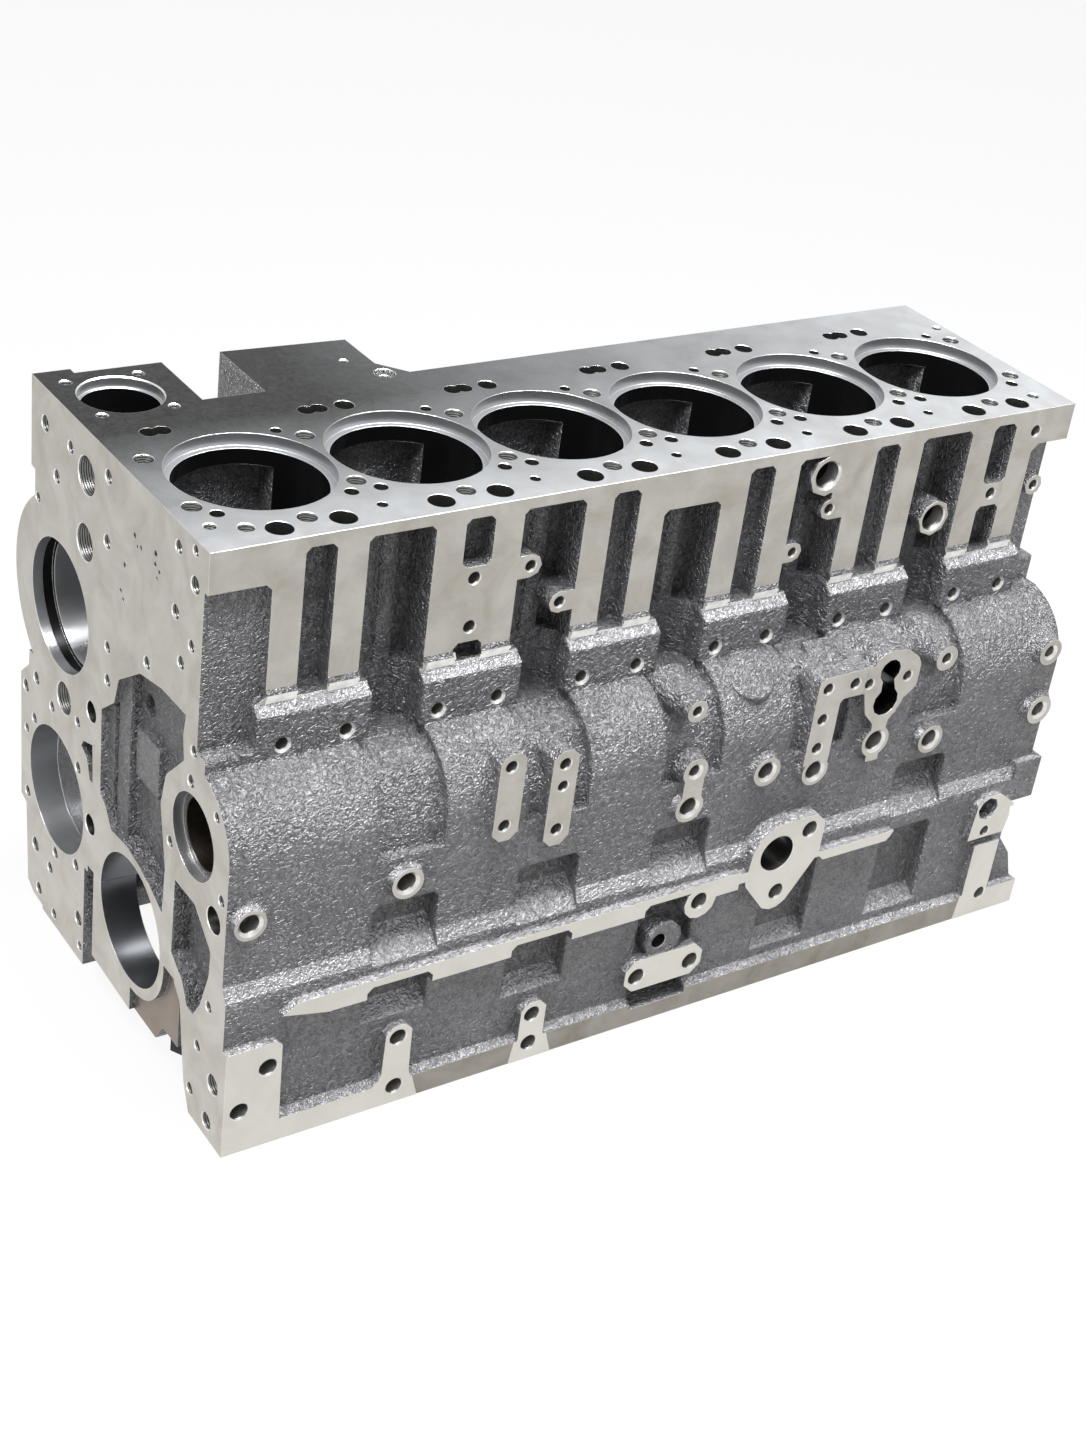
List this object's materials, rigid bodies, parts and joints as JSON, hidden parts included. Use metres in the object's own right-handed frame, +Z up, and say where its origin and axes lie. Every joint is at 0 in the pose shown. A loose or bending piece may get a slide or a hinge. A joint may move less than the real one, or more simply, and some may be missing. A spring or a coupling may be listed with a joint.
{
  "type": "engine block",
  "caption": "Bare cylinder block of a wet-liner in-line diesel engine with deep skirt, main bearing caps, camshaft bore and push rod windows.",
  "frame": {"origin": "crankshaft axis at the machined front face", "axes": "+X along the crankshaft to the rear, +Y away from the camshaft side, +Z up to the deck"},
  "size_m": [0.854, 0.4205, 0.503],
  "materials": {
    "block_casting": "as-cast grey iron with machined faces",
    "bearing_caps": "as-cast grey iron with machined faces",
    "cap_bolts": "oiled black steel",
    "bush_metal": "bored bearing metal",
    "plug_steel": "pressed steel"
  },
  "bodies": {
    "root": {"cylinder_block": "block_casting", "main_bearing_cap_1": "bearing_caps", "main_bearing_cap_2": "bearing_caps", "main_bearing_cap_3": "bearing_caps", "main_bearing_cap_4": "bearing_caps", "main_bearing_cap_5": "bearing_caps", "main_bearing_cap_6": "bearing_caps", "main_bearing_cap_7": "bearing_caps", "main_cap_bolts_1": "cap_bolts", "main_cap_bolts_2": "cap_bolts", "main_cap_bolts_3": "cap_bolts", "main_cap_bolts_4": "cap_bolts", "main_cap_bolts_5": "cap_bolts", "main_cap_bolts_6": "cap_bolts", "main_cap_bolts_7": "cap_bolts", "cam_bushing": "bush_metal", "rear_cam_plug": "plug_steel", "core_plug_3": "plug_steel", "core_plug_4": "plug_steel", "core_plug_5": "plug_steel", "core_plug_6": "plug_steel", "gallery_plug": "plug_steel"}
  },
  "joints": []
}
